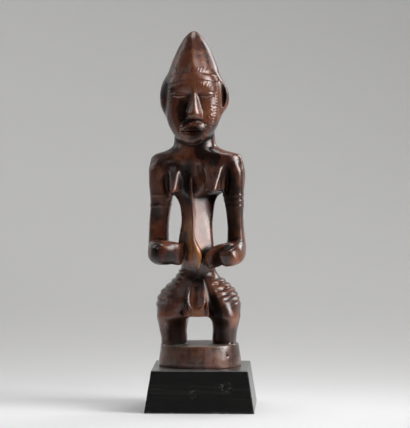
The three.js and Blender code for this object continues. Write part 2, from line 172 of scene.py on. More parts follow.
# Head, in a frame of its own whose middle is moved and turned into place
HEAD_TURN = math.radians(2)
HEAD_MIDDLE = (-6.3, 3)
HEAD = [
    [211.6, 0, 3, -22.5, 3, 2, 2],
    [213.6, 0, 8.6, -24.8, 7, 2, 2],
    [216.4, 0, 13, -26, 10, 2.2, 2],
    [221.8, 0, 17.2, -25.6, 13.5, 2.6, 2],
    [228.2, 0, 20.3, -25, 17, 3, 2.1],
    [235, 0, 21.9, -24.4, 20, 3.2, 2.2],
    [243, 0, 22.1, -23.8, 22.4, 3.2, 2.2],
    [250, 0, 21.9, -23.7, 23.4, 3.1, 2.2],
    [254, 0, 21.7, -25, 23.8, 2.9, 2.1],
    [258, 0, 21.4, -25.7, 24, 2.6, 2.1],
    [263.4, 0, 20.9, -24.8, 24, 2.2, 2],
    [269.8, 0, 19.8, -22.8, 23.2, 1.8, 1.8],
    [276.2, 0, 17.6, -20.4, 21.4, 1.45, 1.6],
    [282.6, 0, 14.9, -17.2, 18.6, 1.3, 1.45],
    [289, 0, 11.6, -13.2, 14.6, 1.3, 1.4],
    [295.4, -0.2, 7.4, -8.4, 9.4, 1.5, 1.5],
    [299, 0, 4.2, -4.8, 5.6, 1.8, 1.8],
    [300.4, 0.2, 2.5, -3, 3.4, 2, 2],
    [301, 0.3, 1, -1.2, 1.4, 2, 2],
]
NOSE = [
    [231, 2.1, 3.8, -25.4, -16, 1.9, 2],
    [232.2, 2.1, 6.1, -28.6, -16, 1.8, 2],
    [235.6, 2.1, 6, -30.9, -16, 1.5, 2],
    [241, 2.2, 4.5, -29.8, -16, 1.4, 2],
    [247, 2.2, 3.2, -27.6, -16, 1.4, 2],
    [252, 2.1, 2.4, -26.1, -16, 1.6, 2],
    [256, 2, 2.6, -25.2, -16, 1.8, 2],
    [261, 1.9, 3.2, -23.4, -16, 1.8, 2],
]
MUZZLE = [
    [213.2, -0.2, 5.5, -25.8, -14, 2.2, 2],
    [216.4, 0, 9, -27.6, -14, 2.5, 2],
    [221.5, 0.2, 10.4, -28.6, -14, 2.6, 2],
    [226.4, 0.6, 9.4, -28.2, -14, 2.5, 2],
    [230, 1.2, 6.4, -26.6, -14, 2, 2],
]

# Paths of the forms that don't stand upright. Each row is a point of the middle line and the size there:
# x, y, z, half thickness on the level, half thickness across that.
FOREARM_LEFT = [
    [-34.4, 8, 127.2, 6.6, 7.2],
    [-34.3, 1, 126.4, 7.9, 8.2],
    [-33.2, -8, 125.5, 8.6, 8.8],
    [-31, -15.5, 125, 8.8, 9.2],
    [-28.6, -20.4, 124.8, 7.6, 8.9],
    [-26.8, -23.2, 124.6, 4.8, 7.8],
]
FOREARM_RIGHT = [
    [28, 8, 130.2, 6, 7],
    [28, 1, 129, 7.2, 8],
    [27.8, -8, 126.2, 8, 8.4],
    [26.6, -15.5, 124, 8.4, 8.1],
    [25, -20.4, 122.8, 7.6, 7.6],
    [24.2, -23.2, 122.2, 5.6, 6.8],
]
HAND_LEFT = [
    [-29.5, -17.6, 125.4, 6.4, 8.8],
    [-25.5, -18.8, 125.4, 5.6, 8.9],
    [-21, -18.4, 125, 4.4, 8.9],
    [-17, -16.4, 124, 3.2, 8.8],
    [-14, -13.8, 123, 1.6, 8],
]
HAND_RIGHT = [
    [25, -16.6, 126.4, 4.4, 7.2],
    [19.5, -18.8, 125.2, 3.8, 7.6],
    [14.4, -19.2, 122.6, 3.4, 8],
    [10, -18.4, 119.2, 2.8, 6.6],
    [7.4, -16.6, 115.6, 1.6, 4.2],
]
KEEL = [
    [-7.6, -9.2, 186, 1.2, 1.2],
    [-7.4, -10.8, 178, 1.7, 1.6],
    [-6.7, -12.4, 170, 1.5, 1.6],
    [-5.6, -13, 163, 0.7, 1.1],
    [-4.9, -14.8, 152, 0.65, 1],
    [-4.6, -18, 143, 0.65, 1],
    [-4.3, -20.8, 136, 0.65, 1],
]
NAVEL = [
    [-4.1, -20.9, 136.5, 0.7, 0.8],
    [-2.9, -22, 131.5, 2.2, 1.5],
    [-1.3, -22, 126, 3.4, 1.9],
    [-0.8, -21.2, 120.5, 3.3, 1.9],
    [-0.8, -19.4, 115, 1.9, 1.3],
    [-0.8, -17, 110.6, 0.4, 0.5],
]
NAVEL_GROOVE = [
    [-4.8, -21.4, 135.2, 0.4, 0.6],
    [-5.8, -22.4, 130, 0.75, 1],
    [-6, -22.6, 124, 0.75, 1],
    [-4.4, -20.9, 117, 0.4, 0.6],
]

# Corners of the flat front of each breast: upper inner, upper outer, tip outer, tip inner
BREAST_RIGHT = [(3.6, -11.4, 200.5), (19.6, -9.6, 199), (13.4, -21.8, 173.4), (9.8, -22.4, 174.2)]
BREAST_LEFT = [(-16.2, -9.8, 197.5), (-26.6, -8.6, 195), (-21.9, -20.8, 172.2), (-20.4, -21.4, 172.8)]
# How far each of its four sides leans back from the front, from the upper one round to the inner one
LEAN_RIGHT = (64, 76, 124, 60)
LEAN_LEFT = (45, 70, 124, 70)
# Valleys between the keel of the chest and each breast
VALLEY_RIGHT = [
    [-1.6, -12.6, 194, 1, 1.4],
    [-0.4, -13.2, 187, 2.2, 2.6],
    [1.6, -13.8, 180, 2.8, 3],
    [4.6, -14.2, 173, 2.6, 2.6],
    [8.4, -14, 167, 1.4, 1.6],
]
VALLEY_LEFT = [
    [-10.8, -12.2, 190, 0.8, 1.2],
    [-11.8, -12.8, 183, 1.8, 2.2],
    [-13.2, -13.4, 176, 2.2, 2.6],
    [-15.4, -13.2, 169, 1.8, 2.2],
    [-17.6, -12.2, 164, 0.8, 1.2],
]
# Deep hollows between each breast and the arm beside it
ARMPIT_RIGHT = [
    [22.4, -13, 196, 0.8, 2],
    [22.2, -11.4, 188, 2, 3.6],
    [21.6, -9.4, 180, 2.6, 4],
    [20.6, -7.6, 173, 1.8, 3],
]
ARMPIT_LEFT = [
    [-29, -12.5, 190, 0.8, 1.6],
    [-28.2, -10.6, 182, 1.7, 2.8],
    [-27, -9, 175, 2, 3],
    [-25.4, -7.2, 169, 1.4, 2],
]

# Ribs round the outside of each hip: crest heights, and how steeply they climb outwards on the right
RIBS_LEFT = [77.2, 82.6, 88.2, 93.5, 98.5, 102.6, 106.4, 109.8]
RIBS_RIGHT = [79, 83.3, 87.4, 92.1, 97, 101.8]
RIB_CLIMB = 0.27
RIB_RISE = 0.95
# Line that the left ribs end at in front: a place from side to side, its height, and how it slants outwards
LEFT_END_X, LEFT_END_Z, LEFT_END_SLANT = -13.2, 103.7, 0.407
# Inner edge of the raised panel that carries the right hip's ribs: height and place from side to side
PANEL_EDGE = [[76.5, 26], [78.6, 20.5], [79.8, 18.1], [82.3, 15.6], [85.2, 13.8], [88.1, 13], [91.1, 12.3],
              [94, 11.4], [96.5, 9.2], [103, 8]]
PANEL_RISE = 0.6

# Armlet: raised rings round each upper arm, of which the middle one is worn away on the left
ARMLET_RINGS = [162, 166.1, 170.6]
ARMLET_RISE = 0.34

# Insect hole in the right of the base's side, and a pit in its top between the feet
INSECT_HOLE = [
    [24.4, -19.4, 43.7, 0.75, 0.75],
    [23, -17.4, 43.7, 0.75, 0.75],
    [21.8, -15, 43.9, 0.6, 0.6],
]
BASE_PIT = [
    [5.2, -9.8, 51.6, 0.8, 0.7],
    [6.6, -9.4, 51.5, 0.9, 0.8],
]

# Headband: a raised fillet that arches over the forehead. Its low and high edge are given for its middle.
BAND_LOW = 262.8
BAND_HIGH = 267.2
BAND_TILT = 0.05
BAND_SAG = 0.0085
BAND_RISE = 0.6

# Ears: how far out each reaches from the head's middle at each height, and the hollow inside the right rim
EAR_LEFT = [[226.5, 17], [231.5, 21.2], [234.6, 23.2], [238, 25.1], [243, 26.7], [249, 27.1],
            [254.5, 26.5], [260, 24.9], [264.5, 22.4], [268, 19.8], [271, 17]]
EAR_RIGHT = [[226.5, 17], [231.5, 21.1], [234.6, 22.9], [238, 25.1], [241.5, 27.1], [245.5, 28.2],
             [250, 28.4], [254.5, 27.5], [258.5, 25.5], [262, 23.5], [265.5, 21.4], [268.5, 19.4], [271, 17]]
EAR_ROOT = 12
EAR_FRONT = -12
EAR_BACK = 6
EAR_HOLLOW = [
    [23, -11, 261, 0.5, 2],
    [24, -11, 257.5, 1.3, 3.6],
    [24.7, -11, 252.5, 2, 4.4],
    [24.9, -11, 247.5, 1.9, 4.2],
    [24.4, -11, 243.5, 1.2, 3.2],
    [23.8, -11, 241, 0.5, 2],
]

# Eyes, in the head's frame: their middles, half width, height, and the height of their slits
EYES = (-10.35, 11.65)
EYE_HALF = 6.0
EYE_HEIGHT = 250.7
SLIT_HEIGHT = 250.5

# Rows of raised beads down the face's two edges, in the head's frame: height and place from side to side
BEADS_LEFT = [[219.5, -10.4], [225, -13.5], [229.5, -14.9], [233, -16.2], [237, -17.4], [242.2, -18.2],
              [248.5, -18.2], [254, -17.6]]
BEADS_RIGHT = [[218.9, 11.3], [222.7, 13.6], [228, 16.4], [235.1, 18.7], [242.2, 19.4], [248, 19.4],
               [253.5, 19]]
BEAD_SPACING = 2.3
BEAD_RISE = 0.45

# Patches of short upright strokes on both sides of the head: lowest, highest, and distances from the middle
STROKES = [(256.6, 261.4, 4.5, 16.5), (268.6, 272.8, 4, 15.5)]
STROKE_SPACING = 2.2
STROKE_RISE = 0.22

# Speckled cheek, and the box that all marks on the head are in
CHEEK_INNER, CHEEK_LOW, CHEEK_HIGH = 8, 218, 246
CHEEK_RISE = 0.3
MARKS_LOW, MARKS_HIGH, MARKS_BACK = 216, 276, -6

# Shallow dents and swellings of the right of the trunk: x, y, z, spread on the level and up and down, height
DENTS = [
    (4.6, -13, 150, 4.5, 7, -0.5),
    (2.6, -20, 137.5, 4, 4, 0.3),
    (7.5, -15, 128, 4, 5, -0.4),
]

# Places where the wood is worn warm, of which the cheeks are partly painted light and the apron's right edge
# a painted highlight, and places painted black where the share is less than nought: grime, and painted shade
# in the
# armpits, under the chin, breasts and belly, round the mouth, hands and apron, and down the legs:
# x, y, z, how far it spreads on the level and up and down, share
PATINA_AND_PAINTED_LIGHT = [
    (3, -21, 123, 8, 12, 1.4),
    (-10, -17, 138, 9, 22, 1.5),
    (5, -17.5, 90, 2.5, 8, 0.8),
    (-4, -20, 80, 9, 4, 0.5),
    (-31, -18, 125, 12, 10, -0.35),
    (-4, -14, 107, 11, 6, -1),
    (-8, -13, 192, 8, 15, -0.7),
    (-27, -9, 150, 5, 20, -0.7),
    (-29, -10, 75, 9, 5, 1),
    (-2, -20, 76, 9, 3, 0.9),
    (3, -30, 238, 7, 10, 0.5),
    (-13, -24, 240, 9, 16, 0.7),
    (14, -24, 236, 8, 16, 0.6),
    (0, -24, 264, 22, 14, 0.4),
    (29, -12, 71, 8, 9, 0.8),
    (29, -24, 120, 7, 7, 0.8),
    (14, -20, 121, 7, 8, -1.4),
    (-17, -17, 124, 5, 9, -0.9),
    (0, -29, 222, 9, 6, -1.4),
    (4, -13, 168, 9, 4, -1),
    (-16, -13, 168, 7, 4, -1),
    (11, -18, 86, 5, 12, -1.3),
    (14, -18, 76, 5, 8, -1.1),
    (-17, -14, 60, 9, 16, -1.5),
    (13, -14, 60, 8, 16, -1.2),
    (24, -11, 183, 6.5, 20, -1),
    (25, -9, 148, 6.5, 20, -1),
    (-28, -11, 180, 4, 14, -0.7),
]

# Places that are rubbed pale, of which the first, at the base's right front, is a painted highlight, and
# places that are hardly waxed, in rows of the same kind
PALE_RUBS_AND_HIGHLIGHT = [
    (15, -27, 45, 8, 5, 1),
    (17, -27, 37, 9, 2.5, 0.8),
    (-6, -30, 36, 14, 2, 0.3),
]
DULL = [
    (-31, -18, 125, 13, 11, 0.9),
    (-6, -14, 284, 9, 14, 0.4),
    (-10, -18, 60, 9, 12, 0.5),
    (12, -20, 122, 6, 8, 0.5),
    (0, -29, 223, 8, 7, 0.6),
]

# Plinth: its widths and height, how round its edges are, its grid, and the most triangles in its mesh
PLINTH_BOTTOM = 87.2
PLINTH_TOP = 76.6
PLINTH_HEIGHT = 33.5
PLINTH_SOFT = 0.7
PLINTH_LOW, PLINTH_HIGH = (-45, -45, -1.5), (45, 45, 35.5)
PLINTH_STEP = 0.6
PLINTH_TRIANGLES = 40000
# Scuffs on its front: place from side to side, height, and how far each spreads both ways
SCUFFS = [(20, 20.5, 8, 5), (-5, 16.5, 3.5, 5)]

# Up for a path on the front, so that its first half thickness is from side to side
FRONTAL = (0, 1, 0)


def smooth_min(a, b, blend):
    near = np.maximum(blend - np.abs(a - b), 0)
    return np.minimum(a, b) - near * near / (4 * max(blend, 1e-6))


def smooth_max(a, b, blend):
    return -smooth_min(-a, -b, blend)


def ramp(x, low, high):
    """0 where x is at low or beyond it, 1 where it is at high or beyond, and smooth between."""
    t = np.clip((x - low) / (high - low), 0, 1)
    return t * t * (3 - 2 * t)


def between(x, low, high, outside, inside):
    """1 between low and high, 0 beyond them, fading over these distances outside and inside each."""
    return ramp(x, low - outside, low + inside) * ramp(x, high + outside, high - inside)


def dot(offset, way):
    return offset[0] * way[0] + offset[1] * way[1] + offset[2] * way[2]


def unit(vector):
    return vector / np.linalg.norm(vector)


def table_at(rows, heights):
    """A table's columns at the heights, on a smooth curve through the rows that never overshoots them."""
    rows = np.array(rows, float)
    at, values = rows[:, 0], rows[:, 1:]
    secant = np.diff(values, axis=0) / np.diff(at)[:, None]
    slope = np.zeros_like(values)
    slope[0], slope[-1] = secant[0], secant[-1]
    below, above = secant[:-1], secant[1:]
    same_way = below * above > 0
    slope[1:-1] = np.where(same_way, 2 * below * above / np.where(same_way, below + above, 1), 0)
    heights = np.clip(heights, at[0], at[-1])
    i = np.clip(np.searchsorted(at, heights) - 1, 0, len(at) - 2)
    span = (at[i + 1] - at[i])[:, None]
    t = (heights - at[i])[:, None] / span
    rise = (values[i + 1] - values[i]) * t * t * (3 - 2 * t)
    leaving = t * (1 - t) ** 2 * span * slope[i]
    arriving = t * t * (t - 1) * span * slope[i + 1]
    return (values[i] + rise + leaving + arriving).astype(np.float32)


def path_at(rows, shares):
    """Points and sizes along a path, on a Catmull-Rom curve through its rows, at shares from 0 to 1."""
    rows = np.array(rows, float)
    ends = np.vstack([2 * rows[0] - rows[1], rows, 2 * rows[-1] - rows[-2]])
    at = np.clip(shares, 0, 1) * (len(rows) - 1)
    i = np.minimum(at.astype(int), len(rows) - 2)
    t = (at - i)[:, None]
    a, b, c, d = (ends[i + n] for n in range(4))
    return 0.5 * (2 * b + (c - a) * t + (2 * a - 5 * b + 4 * c - d) * t**2 + (3 * b - a - 3 * c + d) * t**3)


class Loft:
    """Upright form given by a table of level sections."""

    def __init__(self, rows):
        self.rows = np.array(rows, float)
        z, x, half, front, back = self.rows[:, :5].T
        self.low = np.array([(x - half).min(), front.min(), z[0]])
        self.high = np.array([(x + half).max(), back.max(), z[-1]])

    def distance(self, x, y, z):
        heights = z[:, 0, 0]
        columns = table_at(self.rows, heights).T[:, :, None, None]
        middle_x, half, front, back, front_edge, back_edge = columns
        middle_y, reach = (front + back) / 2, (back - front) / 2
        across = np.abs(x - middle_x) / half + 1e-4
        along = np.abs(y - middle_y) / reach + 1e-4
        in_front = y < middle_y
        ways = []
        for edge in (front_edge, back_edge):
            sharp = np.maximum(edge, 2)
            ways.append((across**edge, edge * across ** (edge - 1) / half, along**sharp,
                         sharp * along ** (sharp - 1) / reach))
        side, side_slope, depth, depth_slope = (np.where(in_front, f, b) for f, b in zip(*ways))
        total = side + depth
        flat = side_slope**2 + depth_slope**2
        steep = flat + np.minimum(np.gradient(total, heights, axis=0) ** 2, 1.5 * flat)
        level = np.sqrt(total)
        near = (level - 1) * 2 * level / np.sqrt(steep)
        return np.maximum(near, np.maximum(self.low[2] - z, z - self.high[2])).astype(np.float32)


def front_at(rows, x, z):
    """How far forward a form's front surface stands at a place on it."""
    middle_x, half, front, back, edge = table_at(rows, np.array([float(z)]))[0, :5]
    share = min(abs(x - middle_x) / half, 0.995)
    middle, reach = (front + back) / 2, (back - front) / 2
    return middle - reach * (1 - share**edge) ** (1 / max(edge, 2))


class Tube:
    """Form that follows a path. A corner of 2 makes it elliptical, and more makes it squarer.

    A row's first half thickness is square to the path and to up, and its second is square to both.
    """

    def __init__(self, rows, corner=2, pieces=5, up=(0, 0, 1)):
        self.path = path_at(rows, np.linspace(0, 1, (len(rows) - 1) * pieces + 1))
        self.corner, self.up = corner, up
        widest = self.path[:, 3:5].max()
        self.low = self.path[:, :3].min(0) - widest
        self.high = self.path[:, :3].max(0) + widest

    def distance(self, x, y, z):
        nearest = None
        for start, end in zip(self.path[:-1], self.path[1:]):
            run = end[:3] - start[:3]
            length = np.linalg.norm(run)
            heading = run / length
            level = unit(np.cross(self.up, heading))
            rise = np.cross(heading, level)
            offset = x - start[0], y - start[1], z - start[2]
            ahead = dot(offset, heading)
            share = np.clip(ahead / length, 0, 1)
            wide, tall = (start[size] + (end[size] - start[size]) * share for size in (3, 4))
            least = np.minimum(wide, tall)
            off = dot(offset, level), dot(offset, rise), ahead - share * length
            ratio = sum(np.abs(a / b) ** self.corner for a, b in zip(off, (wide, tall, least)))
            ratio = ratio ** (1 / self.corner)
            reach = np.sqrt(dot(off, off))
            away = np.where(ratio > 1e-3, reach * (ratio - 1) / np.maximum(ratio, 1e-3), -least)
            nearest = away if nearest is None else np.minimum(nearest, away)
        return nearest.astype(np.float32)


class Facets:
    """Block behind a flat polygon, whose sides lean back from the polygon's edges by given angles."""

    def __init__(self, corners, leans, depth, soft):
        self.corners = np.array(corners, float)
        self.soft = soft
        middle = self.corners.mean(0)
        face = unit(np.cross(self.corners[2] - self.corners[0], self.corners[3] - self.corners[1]))
        face *= 1 if face[1] < 0 else -1
        self.planes = [(middle, face)]
        for a, b, lean in zip(self.corners, np.roll(self.corners, -1, axis=0), leans):
            outward = unit(np.cross(b - a, face))
            outward *= 1 if outward @ (a - middle) > 0 else -1
            lean = math.radians(lean)
            self.planes.append((a, face * math.cos(lean) + outward * math.sin(lean)))
        self.planes.append((middle - face * depth, -face))
        self.low = self.corners.min(0) - depth
        self.high = self.corners.max(0) + depth

    def distance(self, x, y, z):
        whole = None
        for point, normal in self.planes:
            away = dot((x - point[0], y - point[1], z - point[2]), normal)
            whole = away if whole is None else smooth_max(whole, away, self.soft)
        return whole.astype(np.float32)


class Wedge:
    """A form whose front is planed to two flats, which meet along a ridge given by height, x and y.

    The leans say how far the left and the right flat turn away from the front.
    """

    def __init__(self, form, ridge, leans, soft):
        self.form, self.ridge, self.leans, self.soft = form, np.array(ridge, float), leans, soft
        self.low, self.high = form.low, form.high

    def distance(self, x, y, z):
        whole = self.form.distance(x, y, z)
        ridge_x, ridge_y = (np.interp(z, self.ridge[:, 0], column) for column in self.ridge[:, 1:].T)
        for side, lean in zip((-1, 1), self.leans):
            lean = math.radians(lean)
            flat = side * (x - ridge_x) * math.sin(lean) - (y - ridge_y) * math.cos(lean)
            whole = smooth_max(whole, flat, self.soft)
        return whole.astype(np.float32)


class Turned:
    """A form of the head, turned and moved into the body's frame, with room for the turn."""

    def __init__(self, form, room=2.5):
        self.form = form
        self.low = form.low + [*HEAD_MIDDLE, 0] - [room, room, 0]
        self.high = form.high + [*HEAD_MIDDLE, 0] + [room, room, 0]

    def distance(self, x, y, z):
        return self.form.distance(*to_head(x, y), z)


def to_head(x, y):
    c, s = math.cos(HEAD_TURN), math.sin(HEAD_TURN)
    dx, dy = x - HEAD_MIDDLE[0], y - HEAD_MIDDLE[1]
    return dx * c + dy * s, dy * c - dx * s


CORNERS = list(itertools.product((0, 1), repeat=3))


def corners_round(base, share):
    """Indices and weights of the eight grid points round places, each a share of a step past its base."""
    for step in CORNERS:
        yield (base + step).T, np.prod(np.where(step, share, 1 - share), axis=1)


def pairs_along(axis):
    """Slices of a grid that give each point that has a next one along the axis, and that next one."""
    these, next_ones = [slice(None)] * 3, [slice(None)] * 3
    these[axis], next_ones[axis] = slice(None, -1), slice(1, None)
    return tuple(these), tuple(next_ones)


class Block:
    """A grid's field of distances, which forms are added to and cut from."""

    def __init__(self, low, high, step):
        self.step = step
        self.axes = [np.arange(a, b + step, step, dtype=np.float32) for a, b in zip(low, high)]
        self.field = np.full([len(axis) for axis in reversed(self.axes)], FAR, np.float32)

    def window(self, low, high, margin):
        spans = [slice(*np.searchsorted(axis, (a - margin, b + margin)))
                 for axis, a, b in zip(self.axes, low, high)]
        x, y, z = (axis[span] for axis, span in zip(self.axes, spans))
        return tuple(reversed(spans)), x[None, None, :], y[None, :, None], z[:, None, None]

    def add(self, form, blend, raised=None):
        where, x, y, z = self.window(form.low, form.high, blend + 3)
        made = form.distance(x, y, z)
        if raised is not None:
            made = made - raised(x, y, z)
        self.field[where] = smooth_min(self.field[where], made, blend)

    def cut(self, form, blend):
        where, x, y, z = self.window(form.low, form.high, blend + 3)
        self.field[where] = smooth_max(self.field[where], -form.distance(x, y, z), blend)

    def softened(self, strides):
        """The field averaged over its neighbours at each of these strides in turn."""
        soft = np.clip(self.field, -4, 4)
        for stride in strides:
            for axis in range(3):
                ahead = np.roll(soft, -stride, axis)
                behind = np.roll(soft, stride, axis)
                soft = 0.5 * soft + 0.25 * (ahead + behind)
        return soft

    def sample(self, values, points):
        """The values on the grid at any points, taken between the eight around each."""
        at = (points - [axis[0] for axis in self.axes]) / self.step
        at = np.clip(at, 0, np.array([len(axis) for axis in self.axes]) - 1.001)
        base = at.astype(int)
        total = np.zeros(len(points))
        for (i, j, k), weight in corners_round(base, at - base):
            total += weight * values[k, j, i]
        return total

    def surface(self):
        """Points and four-sided faces of the surface where the field is nought, facing out."""
        inside = self.field < 0
        count = inside.astype(np.uint8)
        for axis in range(3):
            low, high = pairs_along(axis)
            count = count[low] + count[high]
        cells = np.stack(np.nonzero((count > 0) & (count < 8)), axis=1)
        number = np.full(count.shape, -1, np.int32)
        number[tuple(cells.T)] = np.arange(len(cells))
        corners = {step: self.field[tuple((cells + step).T)] for step in CORNERS}
        total = np.zeros((len(cells), 3), np.float32)
        crossings = np.zeros(len(cells), np.float32)
        for a, b in itertools.combinations(corners, 2):
            if sum(abs(p - q) for p, q in zip(a, b)) != 1:
                continue
            fa, fb = corners[a], corners[b]
            crossed = (fa < 0) != (fb < 0)
            t = np.where(crossed, fa / np.where(crossed, fa - fb, 1), 0)[:, None]
            total += np.where(crossed[:, None], np.array(a) + t * (np.array(b) - np.array(a)), 0)
            crossings += crossed
        index = cells + total / crossings[:, None]
        points = index[:, ::-1] * self.step + [axis[0] for axis in self.axes]
        faces = []
        for axis in range(3):
            low, high = pairs_along(axis)
            leaving = inside[low] & ~inside[high]
            entering = ~inside[low] & inside[high]
            u, v = [a for a in range(3) if a != axis]
            for edges, flip in ((leaving, axis != 1), (entering, axis == 1)):
                at = np.stack(np.nonzero(edges), axis=1)
                at = at[(at[:, u] > 0) & (at[:, v] > 0)]
                at = at[(at[:, u] < count.shape[u]) & (at[:, v] < count.shape[v])]
                ring = []
                for du, dv in ((1, 1), (0, 1), (0, 0), (1, 0)):
                    cell = at.copy()
                    cell[:, u] -= du
                    cell[:, v] -= dv
                    ring.append(number[tuple(cell.T)])
                faces.append(np.stack(ring[::-1] if flip else ring, axis=1))
        return points, np.concatenate(faces)


def noise(points, size, seed):
    """Smooth noise from -1 to 1 at the points, with bumps about one size across."""
    at = points / size + 1000
    base = np.floor(at).astype(np.int64)
    total = np.zeros(len(points))
    for (i, j, k), weight in corners_round(base, ramp(at - base, 0, 1)):
        mixed = (i * 73856093) ^ (j * 19349663) ^ (k * 83492791) ^ (seed * 49979687)
        mixed = (mixed * 1103515245 + 12345) & 0x7FFFFFFF
        mixed = ((mixed ^ (mixed >> 13)) * 1274126177) & 0x7FFFFFFF
        total += weight * ((mixed >> 8) / 0x3FFFFF - 1)
    return total


def ribs(x, y, z):
    """Height of the raised ribs round the outside of the hips."""
    def bars(height, crests):
        crests = np.array(crests)
        edges = np.concatenate([[1.5 * crests[0] - 0.5 * crests[1]], (crests[1:] + crests[:-1]) / 2,
                                [1.5 * crests[-1] - 0.5 * crests[-2]]])
        i = np.clip(np.searchsorted(edges, height) - 1, 0, len(crests) - 1)
        half = (edges[i + 1] - edges[i]) / 2
        t = np.clip((height - (edges[i + 1] + edges[i]) / 2) / half, -1, 1)
        return (0.5 + 0.5 * np.cos(np.pi * t)) ** 0.75

    shape = np.broadcast_shapes(x.shape, y.shape, z.shape)
    flat = np.broadcast_to(z, shape)
    climbing = z - RIB_CLIMB * np.maximum(x - 14, 0)
    left = bars(flat, RIBS_LEFT)
    right = bars(np.broadcast_to(climbing, shape), RIBS_RIGHT)
    # The ribs stop in front at a line that slants outwards as it goes down, and behind at the buttocks
    left_front = ramp(LEFT_END_X + LEFT_END_SLANT * (z - LEFT_END_Z) - x, 0.3, 3.4)
    left_span = ramp(z, 74.4, 75.6) * ramp(z, 112.5, 110.5)
    edge = np.interp(z, *np.array(PANEL_EDGE).T)
    panel = ramp(x - edge, -0.4, 1.4) * ramp(climbing, 105.5, 103) * ramp(z, 76, 82)
    ribbed = ramp(x - edge - 0.3 * np.clip(97 - z, 0, 12), 0.2, 3) * ramp(z, 78.5, 84)
    behind = ramp(y, 17, 12)
    on_left = np.broadcast_to(x < 0, shape)
    carved = PANEL_RISE * panel * (1 - ribbed) + RIB_RISE * right * panel * ribbed
    height = np.where(on_left, RIB_RISE * left * left_front * left_span, carved)
    return (height * behind).astype(np.float32)


def armlet(x, y, z):
    """Height of the raised rings round an upper arm."""
    wavy = z + 0.25 * np.sin(x * 0.9 + y * 0.35) + 0.12 * np.sin(x * 2.3 - y)
    low, middle, high = (ramp(np.abs(wavy - ring), 1.5, 0.3) for ring in ARMLET_RINGS)
    ring = low + high + middle * ramp(x, 0, 1)
    worn = 0.75 + 0.25 * np.sin(0.7 * x + 1.1 * y + 0.4 * z)
    return (ARMLET_RISE * ring * worn).astype(np.float32)


def headband(x, y, z):
    """Height of the fillet over the forehead, which is worn away in the middle."""
    worn = 1 - 0.75 * np.exp(-(((x - 0.5) / 5.5) ** 2))
    level = z - BAND_TILT * x + BAND_SAG * np.minimum(x * x, 300)
    fillet = ramp(level, BAND_LOW - 0.7, BAND_LOW + 0.4) * ramp(level, BAND_HIGH + 0.8, BAND_HIGH - 0.4)
    return (BAND_RISE * fillet * worn + 0 * y).astype(np.float32)


def shin(rows, x, leans):
    """Leg with a blunt ridge down its front at this x, between two flats that fade out at the knee."""
    heights = np.arange(rows[0][0], rows[-1][0])
    fronts = table_at(rows, heights)[:, 2] - 0.5 - 5 * ramp(heights, 66, 77)
    return Wedge(Loft(rows), [[z, x, front] for z, front in zip(heights, fronts)], leans, 3)


def make_legs(block):
    block.add(Loft(BASE), 0)
    where, x, _, z = block.window(*TOP_BOX, 0)
    top = BASE_TOP + TOP_CLIMB * x - z
    block.field[where] = smooth_max(block.field[where], -top, 0.9)
    block.add(shin(LEG_LEFT, -24.8, (38, 36)), 1.6)
    block.add(shin(LEG_RIGHT, 23.8, (37, 44)), 1.6)
    block.add(Loft(HIPS), 4.4, ribs)
    block.cut(Tube(INSECT_HOLE), 0.2)
    block.cut(Tube(BASE_PIT), 0.5)


def make_torso(block):
    keel = path_at(KEEL + NAVEL[1:], np.linspace(0, 1, 60))[::-1]
    ridge = [[z, x, y + 0.2 - 8 * ramp(z, 168, 178)] for x, y, z in keel[:, :3]]
    block.add(Wedge(Loft(TRUNK), ridge, (40, 41), 2), 5)
    block.add(Loft(YOKE), 6)
    block.add(Loft(ARM_LEFT), 2.5, armlet)
    block.add(Loft(ARM_RIGHT), 2.5, armlet)
    for corners, leans in ((BREAST_RIGHT, LEAN_RIGHT), (BREAST_LEFT, LEAN_LEFT)):
        block.add(Facets(corners, leans, 14, 2.6), 3)
    for valley in (ARMPIT_RIGHT, ARMPIT_LEFT, VALLEY_RIGHT, VALLEY_LEFT):
        block.cut(Tube(valley, up=FRONTAL), 2)
    block.add(Tube(KEEL, up=FRONTAL), 1.2)
    block.cut(Tube(NAVEL_GROOVE, up=FRONTAL), 0.6)
    block.add(Tube(NAVEL, up=(-0.42, 0.9, 0)), 2.4)


def make_arms(block):
    block.add(Tube(FOREARM_LEFT, corner=2.8), 1.2)
    block.add(Tube(FOREARM_RIGHT, corner=2.9, up=(-0.22, 0, 1)), 1.2)
    block.add(Tube(HAND_LEFT, corner=2.8), 3)
    block.add(Tube(HAND_RIGHT, corner=2.8), 1.6)


def make_apron(block):
    block.add(Loft(APRON), 1)
    beside = [[6.4, -14.2, 101, 1.2, 1.6], [8.6, -16.6, 92, 2.6, 2.8], [11.4, -18, 84, 3.2, 3.2],
              [12.6, -18.4, 76, 2.8, 3]]
    block.cut(Tube(beside, up=FRONTAL), 1.8)
    rim = [[-7.6, -15.2, 97, 0.6, 0.7], [-8.7, -17.7, 91, 0.8, 1], [-8.4, -19.6, 85.5, 0.85, 1.1],
           [-5.8, -20.8, 80.8, 0.85, 1.1], [-1.9, -21.2, 79.3, 0.85, 1.1], [2, -20.9, 80.8, 0.85, 1.1],
           [4.2, -19.6, 85.5, 0.8, 1], [4.1, -17.8, 90.5, 0.7, 0.9], [3.2, -16.2, 95, 0.5, 0.7]]
    block.add(Tube(rim, up=FRONTAL), 0.8)
    hollow = [[-2.2, -16.4, 98, 3.4, 2.2], [-2.2, -18.8, 93, 5, 2.8], [-2.2, -20.6, 87.6, 5.3, 2.8],
              [-2.1, -21.6, 84.2, 4.4, 2]]
    block.cut(Tube(hollow, up=FRONTAL), 1.2)
    right_edge = [[3.2, -13.6, 103.6, 0.5, 0.6], [4.9, -16.6, 92, 0.9, 0.9], [6.6, -19.4, 84, 1, 1],
                  [7.6, -20.4, 76, 0.9, 0.8]]
    block.add(Tube(right_edge, up=FRONTAL), 0.8)


